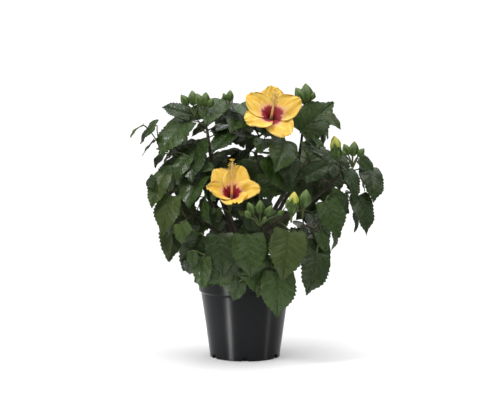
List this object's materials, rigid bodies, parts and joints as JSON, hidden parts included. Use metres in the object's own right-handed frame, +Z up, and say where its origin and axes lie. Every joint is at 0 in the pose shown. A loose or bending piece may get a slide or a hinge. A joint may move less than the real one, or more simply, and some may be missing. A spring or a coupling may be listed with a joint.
{
  "type": "potted hibiscus shrub",
  "caption": "Potted hibiscus shrub: black nursery pot, soil, short trunk, forking boughs and uneven foliage masses with yellow blooms.",
  "frame": {"origin": "centre of the flat underside of the pot, on the surface that it stands on", "axes": "+Z up along the pot's axis; -Y is the front, where the two open blooms look; +X is to the right seen from the front"},
  "size_m": [0.338, 0.232, 0.367],
  "materials": {
    "pot_plastic": "satin",
    "soil": "matte",
    "bark": "matte",
    "leaf": "satin",
    "bud": "satin",
    "petal": "matte"
  },
  "bodies": {
    "root": {"pot": "pot_plastic", "potting_soil": "soil", "trunk": "bark", "bough_left_top": "bark", "bough_top": "bark", "bough_right_top": "bark", "bough_front": "bark", "bough_back_left": "bark", "bough_back_right": "bark", "bough_left_outer": "bark", "bough_left_low": "bark", "bough_right_outer": "bark", "bough_right_low": "bark", "bough_front_left": "bark", "bough_back_top": "bark", "bough_back_low": "bark", "foliage_top": "leaf", "foliage_front": "leaf", "foliage_front_left": "leaf", "foliage_left_top": "leaf", "foliage_left_outer": "leaf", "foliage_left_hanging": "leaf", "foliage_left_mid": "leaf", "foliage_left_low": "leaf", "foliage_right_top": "leaf", "foliage_right_outer": "leaf", "foliage_right_inner": "leaf", "foliage_right_low": "leaf", "foliage_centre": "leaf", "foliage_front_low": "leaf", "foliage_lower_left": "leaf", "foliage_back_top": "leaf", "foliage_back_left": "leaf", "foliage_back_right": "leaf", "foliage_back_middle": "leaf", "foliage_back_low": "leaf", "foliage_side_left": "leaf", "foliage_side_right": "leaf", "foliage_inner": "leaf"}
  },
  "joints": []
}
